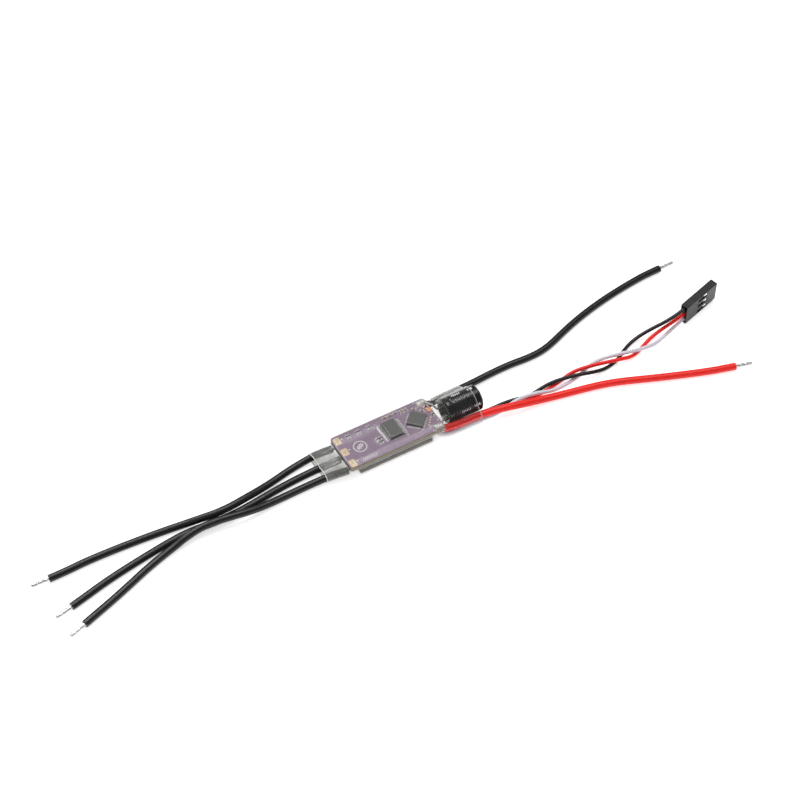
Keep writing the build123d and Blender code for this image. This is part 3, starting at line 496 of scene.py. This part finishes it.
def make_tip(name, route):
    """Tinned end of a power wire: twisted strands under solder, tapering a little to a blunt end."""
    start = Vector(route[-1])
    along = (start - Vector(route[-2])).normalized()
    side = along.cross(Vector((0, 0, 1))).normalized()
    up = side.cross(along)
    rings, around = 46, 56
    vertices = []
    for i in range(rings):
        t = i / (rings - 1)
        swell = 1.0 - 0.10 * t**3 if i < rings - 1 else 0.55
        if i == rings - 2:
            swell *= 0.9
        for j in range(around):
            angle = 2 * math.pi * j / around
            lobe = abs(math.cos(TIP_STRANDS / 2 * (angle + TIP_TWIST * t)))
            groove = 1.0 - GROOVE_DEPTH * (1 - lobe) ** 1.6 * (1 - 0.45 * t)
            wave = 1 + 0.02 * math.sin(9 * t + len(name)) * math.cos(angle * 2)
            r = TIP_RADIUS * 0.985 * swell * groove * wave
            across = side * (r * math.cos(angle)) + up * (r * math.sin(angle))
            vertices.append(start + along * (TIP_LENGTH * t) + across)
    tip = mesh_object(name + "_strands", vertices, tube_faces(rings, around))
    return finish_piece(tip, "tinned_copper", name + "_tip")


for name, (route, diameter, slot) in WIRES.items():
    wire = make_wire(name, route, diameter, slot)
    if diameter == POWER_WIRE:
        carried = [make_tip(name, route)]
    else:
        carried = PLUG_PIECES[name]


# ---------------------------------------------------------------- thin layers on the board, in millimetres
BOARD_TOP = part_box("circuit_board")[1].z / MM
LAYER_FOOT = BOARD_TOP - 0.01    # layers start a little inside the board
TRACK_TOP = BOARD_TOP + 0.012
PRINT_TOP = BOARD_TOP + 0.016
TRACK_WIDTH = 0.22
LEAD_PITCH = 0.65
ROUND = 48


def block(outline, low, high):
    """Flat closed block over an outline in the XY plane."""
    count = len(outline)
    points = [(x, y, z) for z in (low, high) for x, y in outline]
    faces = [tuple(range(count)), tuple(range(count, 2 * count))]
    faces += [(i, (i + 1) % count, count + (i + 1) % count, count + i) for i in range(count)]
    return points, faces


def circle(centre, radius):
    """Points round a circle."""
    turns = [2 * math.pi * i / ROUND for i in range(ROUND)]
    return [(centre[0] + radius * math.cos(t), centre[1] + radius * math.sin(t)) for t in turns]


def ring(centre, outer, inner, low, high):
    """Flat ring with walls."""
    points = []
    for z in (low, high):
        for radius in (outer, inner):
            points += [(x, y, z) for x, y in circle(centre, radius)]
    faces = []
    for i in range(ROUND):
        j = (i + 1) % ROUND
        corners = [0, ROUND, 3 * ROUND, 2 * ROUND]
        for a, b in zip(corners, corners[1:] + corners[:1]):
            faces.append((a + i, a + j, b + j, b + i))
    return points, faces


def disc(centre, radius, low, high):
    """Flat round block."""
    return block(circle(centre, radius), low, high)


def stripe(points, width):
    """Outline of a line of that width through the points, mitred at its corners."""
    spots = [Vector(p) for p in points]
    runs = [(b - a).normalized() for a, b in zip(spots, spots[1:])]
    left, right = [], []
    for i, spot in enumerate(spots):
        before = runs[max(i - 1, 0)]
        after = runs[min(i, len(runs) - 1)]
        mean = (before + after).normalized()
        across = Vector((-mean.y, mean.x)) * (width / 2 / max(mean.dot(after), 0.5))
        left.append(spot + across)
        right.append(spot - across)
    return [tuple(v) for v in right + left[::-1]]


def layer(name, parts, slot, *replaced):
    """One piece made of several thin parts given in millimetres."""
    vertices, faces = [], []
    for points, polygons in parts:
        offset = len(vertices)
        vertices += [Vector(p) * MM for p in points]
        faces += [[offset + i for i in polygon] for polygon in polygons]
    return finish_piece(mesh_object(name, vertices, faces, smooth=False), slot, *replaced)


def board_tracks():
    """Copper tracks and vias that stand out a little under the solder mask."""
    low, high = LAYER_FOOT, TRACK_TOP
    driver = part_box("gate_driver_leads")
    left, right = driver[0].x / MM - 0.1, driver[1].x / MM + 0.1
    bottom = driver[0].y / MM
    rows = [bottom + 0.12 + LEAD_PITCH * i for i in range(10)]
    parts = []
    for row, x in zip((9, 8, 7, 6, 5), (-3.33, -4.17, -7.03, -7.87, -10.38)):
        parts.append([(left, rows[row]), (x + 0.6 * (3.9 - rows[row]), rows[row]), (x, 3.9)])
    for i in (0, 1):
        parts.append([(left, rows[i]), (-3.0 + 0.6 * i, rows[i]), (-3.5 + 0.5 * i, -3.3 - 0.4 * i)])
    for i, y in enumerate(rows[1:9:2]):
        parts.append([(right, y), (right + 0.7, y), (right + 1.2, y + 0.4 * (i - 1.5))])
    for i in range(4):
        parts.append([(12.0 + 0.55 * i, 1.5 - 0.5 * i), (12.7 + 0.5 * i, 0.6 - 0.5 * i),
                      (13.1, -0.4 - 0.3 * i)])
    parts.append([(-12.4, 5.9), (4.0, 5.9), (5.0, 6.2), (12.2, 6.2)])
    parts.append([(-12.4, -6.15), (11.8, -6.15)])
    parts.append([(6.0, -4.9), (10.4, -4.9), (11.8, -5.4)])
    tracks = [block(stripe(points, TRACK_WIDTH), low, high) for points in parts]
    wide = [block(stripe([(-5.6, -5.3), (4.4, -5.3)], 1.0), low, high)]
    vias = [(-12.2, 2.2), (-12.2, -2.7), (-6.3, 1.7), (-6.3, -3.9), (-4.6, -5.3), (-2.6, -5.3),
            (-0.6, -5.3), (1.4, -5.3), (3.4, -5.3), (5.5, 2.9), (5.6, 0.9), (5.6, -1.5), (6.5, -3.6),
            (8.0, -4.4), (11.3, -3.3), (11.0, 5.6), (12.2, 4.4), (-1.1, 4.9), (-9.1, 2.4),
            (-5.7, 3.3), (0.6, 4.6), (10.2, 5.7)]
    holes = [ring(spot, 0.26, 0.12, low, high) for spot in vias]
    return layer("board_tracks", tracks + wide + holes, "solder_mask_purple")


def board_print():
    """White ink: a plain ring mark, a hatched mark, dots, a chevron by the chip and the pads' corners."""
    low, high = LAYER_FOOT, PRINT_TOP
    centre = Vector((-9.6, -0.5))
    parts = [ring(centre, 2.15, 1.8, low, high)]
    lean = Vector((0.45, 0.9)).normalized()
    for offset, half in ((-0.85, 0.62), (-0.28, 1.12), (0.3, 1.05), (0.86, 0.55)):
        middle = centre + Vector((offset, 0.12 * offset))
        parts.append(block(stripe([middle - lean * half, middle + lean * half], 0.36), low, high))
    for i in range(8):
        x = -11.2 + 0.62 * i
        parts.append(block(stripe([(x - 0.16, -5.95), (x + 0.24, -4.75)], 0.2), low, high))
    parts += [disc((-12.95, y), 0.25, low, high) for y in (4.7, 0.0, -4.8)]
    parts.append(disc((4.86, -3.7), 0.28, low, high))
    mcu_low, mcu_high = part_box("microcontroller")
    tip = ((mcu_low.x + mcu_high.x) / 2 / MM, mcu_low.y / MM - 0.75)
    chevron = [(tip[0] - 0.55, tip[1] + 0.55), tip, (tip[0] + 0.55, tip[1] + 0.55)]
    parts.append(block(stripe(chevron, 0.16), low, high))
    for x, y in ((14.4, 5.05), (14.4, -5.35)):
        for side in (-1, 1):
            corner = [(x - 2.2, y + 0.6 * side), (x - 2.2, y + 1.15 * side), (x - 1.5, y + 1.15 * side)]
            parts.append(block(stripe(corner, 0.14), low, high))
    return layer("board_print", parts, "print_white")


board_tracks()
board_print()


# ---------------------------------------------------------------- print on the capacitor's sleeve
def capacitor_print():
    """Plain strokes and a dashed polarity stripe, printed round the can."""
    low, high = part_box("capacitor_sleeve")
    axis_y, axis_z = (low.y + high.y) / 2 / MM, (low.z + high.z) / 2 / MM
    start, radius = low.x / MM, (high.y - low.y) / 2 / MM + 0.006
    vertices, faces = [], []

    def patch(x0, x1, middle, width, thickness=0.012):
        """Curved block between two stations, at an angle from straight up."""
        steps = 5
        offset = len(vertices)
        for r in (radius - 0.03, radius + thickness):
            for x in (x0, x1):
                for i in range(steps + 1):
                    angle = math.radians(middle + width * (i / steps - 0.5))
                    y, z = axis_y + r * math.sin(angle), axis_z + r * math.cos(angle)
                    vertices.append(Vector((start + x, y, z)) * MM)
        row = steps + 1
        for i in range(steps):
            faces.append((offset + i, offset + i + 1, offset + row + i + 1, offset + row + i))
            faces.append(tuple(offset + 2 * row + v for v in (row + i, row + i + 1, i + 1, i)))
        rim = [*range(row), *range(2 * row - 1, row - 1, -1)]
        for a, b in zip(rim, rim[1:] + rim[:1]):
            faces.append((offset + a, offset + b, offset + 2 * row + b, offset + 2 * row + a))

    for i, width in enumerate((9, 15, 12, 16, 10)):
        patch(3.3 + 0.62 * i, 3.62 + 0.62 * i, 18, width)
    for i, width in enumerate((14, 8, 15)):
        patch(8.7 + 0.6 * i, 9.0 + 0.6 * i, 14, width)
    for i, width in enumerate((8, 13, 10, 13, 9, 12)):
        patch(4.2 + 0.55 * i, 4.42 + 0.55 * i, -74, width)
    for i, width in enumerate((10, 12, 7, 12)):
        patch(8.6 + 0.55 * i, 8.82 + 0.55 * i, -70, width)
    for i in range(5):
        patch(3.2 + 1.7 * i, 4.2 + 1.7 * i, 150, 26)
    return finish_piece(mesh_object("capacitor_print", vertices, faces, smooth=False), "print_white")


capacitor_print()


# ---------------------------------------------------------------- sprung latches seen in the plug's windows
PLUG_HEADING = math.radians(14.4)
PLUG_LIFT = math.radians(4)


def plug_latches():
    """Bright metal tongue of each terminal, sprung up behind its window."""
    parts, polygons = [], []
    for number in (1, 2, 3):
        low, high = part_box(f"connector_terminal_{number}")
        middle = (low + high) / 2
        along = Vector((math.cos(PLUG_HEADING), math.sin(PLUG_HEADING), math.tan(PLUG_LIFT)))
        along.normalize()
        out = Vector((along.y, -along.x, 0)).normalized()
        up = out.cross(along)
        base = middle + out * (0.86 * MM) + along * (2.1 * MM)
        profile = [(-0.8, -0.02), (-0.4, 0.06), (0.0, 0.16), (0.4, 0.26), (0.75, 0.28), (0.95, 0.2)]
        offset = len(parts)
        for t, rise in profile:
            for half, lift in ((-0.5, 0), (0.5, 0), (0.5, 0.12), (-0.5, 0.12)):
                parts.append(base + along * (t * MM) + up * (half * MM) + out * ((rise - 0.12 + lift) * MM))
        polygons += tube_faces(len(profile), 4, first=offset)
    return finish_piece(mesh_object("plug_latches", parts, polygons, smooth=False), "terminal_brass")


plug_latches()


# ---------------------------------------------------------------- clear film, stretched over what it holds
FILM_THICKNESS = 0.26 * MM
FILM_GAP = 0.02 * MM    # between the film and what it holds
FILM_FLOOR = 0.3 * MM    # least height of the film's inner face
FILM_AROUND = 176
FILM_ALONG = 230
FILM_STEPS = 220
FILM_CLING = 0.014    # share of the gap that is drawn in at each step
FOLD_DEPTH = 0.06 * MM


def search_tree(names):
    """One search tree over some CAD nodes."""
    points, triangles = [], []
    for name in names:
        mesh = NODES[name].data
        offset = len(points)
        points += [v.co.copy() for v in mesh.vertices]
        triangles += [[offset + i for i in face.vertices] for face in mesh.polygons]
    return BVHTree.FromPolygons(points, triangles)


def outline_directions(count):
    """Directions from the package's axis to points spread evenly round a flat rectangle about it."""
    half_width, half_height = 7.2, 3.6
    corners = [(-half_width, -half_height), (half_width, -half_height), (half_width, half_height),
               (-half_width, half_height), (-half_width, -half_height)]
    reached = np.cumsum([0, 2 * half_width, 2 * half_height, 2 * half_width, 2 * half_height])
    at = (np.arange(count) + 0.5) / count * reached[-1]
    y = np.interp(at, reached, [c[0] for c in corners])
    z = np.interp(at, reached, [c[1] for c in corners])
    return [Vector((0, a, b)).normalized() for a, b in zip(y, z)]


def film_start():
    """Axis points, ray directions, the film's starting radii and the radii it may not go below."""
    sleeve_low, sleeve_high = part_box("heat_shrink_sleeve")
    held = [n for n in NODES if n != "heat_shrink_sleeve" and not n.startswith("connector")]
    contents = search_tree([n for n in held if not n.endswith("_tip")])
    sleeve = search_tree(["heat_shrink_sleeve"])
    directions = outline_directions(FILM_AROUND)
    stations = np.linspace(sleeve_low.x, sleeve_high.x, FILM_ALONG)
    # the axis runs through the middle of the package, low at the wires and high at the capacitor
    heights = np.interp(stations, [sleeve_low.x, -15 * MM, 16 * MM, sleeve_high.x],
                        [1.8 * MM, 2.9 * MM, 2.9 * MM, 3.4 * MM])
    centres = np.array([(x, 0, z) for x, z in zip(stations, heights)])
    start = np.zeros((FILM_ALONG, FILM_AROUND))
    reach = np.zeros((FILM_ALONG, FILM_AROUND))
    for i, centre in enumerate(centres):
        inset = min(max(centre[0], sleeve_low.x + 0.02 * MM), sleeve_high.x - 0.02 * MM)
        middle = Vector((inset, centre[1], centre[2]))
        for j, direction in enumerate(directions):
            far = middle + direction * 0.03
            start[i, j] = (sleeve.ray_cast(far, -direction)[0] - middle).length - FILM_THICKNESS
            hit = contents.ray_cast(far, -direction, 0.03)[0]
            if hit is not None:
                reach[i, j] = (hit - middle).length + FILM_GAP
    return centres, np.array([tuple(d) for d in directions]), start, reach


def film_shape():
    """Rings of points of the film's inner face: a skin pulled tight over what it holds."""
    centres, rays, radius, reach = film_start()
    for _ in range(FILM_STEPS):
        points = centres[:, None, :] + radius[:, :, None] * rays[None]
        before = np.roll(points, 1, axis=1)
        after = np.roll(points, -1, axis=1)
        left = np.vstack([points[:1], points[:-1]])
        right = np.vstack([points[1:], points[-1:]])
        mean = 0.34 * (before + after) + 0.16 * (left + right)
        pulled = ((mean - centres[:, None, :]) * rays[None]).sum(axis=2)
        drawn_in = FILM_CLING * np.minimum(radius - reach, 0.4 * MM)
        radius = np.maximum(pulled - drawn_in, reach)
    # shallow folds beyond the board's ends, where nothing backs the film
    along = centres[:, 0][:, None] / MM
    slack = np.clip((radius - reach) / (0.5 * MM), 0, 1) * np.clip(np.abs(along) / 1.5 - 11, 0, 1)
    turn = np.arange(FILM_AROUND)[None] / FILM_AROUND * 2 * math.pi
    folds = np.sin(7 * turn + 0.8 * along) * np.sin(0.6 * along + 2 * turn)
    folds = folds + 0.5 * np.sin(13 * turn - 0.5 * along)
    radius = radius + FOLD_DEPTH * slack * folds
    points = centres[:, None, :] + radius[:, :, None] * rays[None]
    points[:, :, 2] = np.maximum(points[:, :, 2], FILM_FLOOR)
    return points


def make_film():
    """Film with its thickness and its two cut mouths."""
    points = film_shape()
    faces = tube_faces(FILM_ALONG, FILM_AROUND, closed_ends=False)
    film = mesh_object("shrink_film", points.reshape(-1, 3), faces)
    wall = film.modifiers.new("wall", "SOLIDIFY")
    wall.thickness = FILM_THICKNESS
    wall.offset = 1
    return finish_piece(film, "clear_film", "heat_shrink_sleeve")


make_film()


# ---------------------------------------------------------------- CAD nodes that stay
# width of the softened edges, in millimetres
BEVELS = {
    "gate_driver": 0.05, "microcontroller": 0.05, "chip_resistors": 0.03, "ceramic_capacitors": 0.04,
    "resistor_end_caps": 0.03, "ceramic_end_caps": 0.03, "gate_driver_leads": 0.03, "status_led": 0.04,
    "connector_housing": 0.1, "battery_pads": 0.02, "motor_pads": 0.02, "thermal_pad": 0.05,
}


def finish_cad_nodes():
    """Give every CAD node that still shows the material of its slot, and soften its moulded edges."""
    slots = {row["node"]: row["material_slot"] for row in frame["record"]["subparts"]}
    for name, obj in NODES.items():
        if obj.hide_render:
            continue
        obj.data.materials.clear()
        obj.data.materials.append(MATERIALS[slots[name]])
        if name in BEVELS:
            edge = obj.modifiers.new("edge", "BEVEL")
            edge.width = BEVELS[name] * MM
            edge.segments = 2
            edge.limit_method = "ANGLE"
            edge.angle_limit = math.radians(35)


finish_cad_nodes()


# ---------------------------------------------------------------- floor and light
WORLD_STRENGTH = 0.3
# name, position, size and watts; each lamp points at the origin
LAMPS = [
    ("key", (0.2, 0.14, 0.78), (0.45, 0.4), 3.3),
    ("back", (-0.07, 0.45, 0.66), (0.22, 0.22), 2.4),
    ("side", (-0.6, -0.25, 0.5), (0.3, 0.5), 1.1),
]


def make_stage():
    """Plain pale floor, white surroundings and soft lamps."""
    material, _, shader = new_material("floor_white")
    settings(shader, base_color=(0.9, 0.9, 0.9, 1), roughness=0.9, specular_ior_level=0.0)
    settings(shader, emission_color=(1, 1, 1, 1), emission_strength=0.6)
    reach = 6
    corners = [(-reach, -reach, 0), (reach, -reach, 0), (reach, reach, 0), (-reach, reach, 0)]
    floor = mesh_object("floor", corners, [(0, 1, 2, 3)], smooth=False)
    floor.data.materials.append(material)
    world = bpy.data.worlds.new("studio")
    world.use_nodes = True
    background = world.node_tree.nodes["Background"]
    background.inputs["Color"].default_value = (1, 1, 1, 1)
    background.inputs["Strength"].default_value = WORLD_STRENGTH
    bpy.context.scene.world = world
    for name, position, size, power in LAMPS:
        data = bpy.data.lights.new(name, "AREA")
        data.shape = "RECTANGLE"
        data.size, data.size_y = size
        data.energy = power
        lamp = bpy.data.objects.new(name, data)
        lamp.location = position
        lamp.rotation_mode = "QUATERNION"
        lamp.rotation_quaternion = (-Vector(position)).to_track_quat("-Z", "Y")
        bpy.context.scene.collection.objects.link(lamp)
    bpy.context.scene.view_settings.view_transform = "Standard"


make_stage()
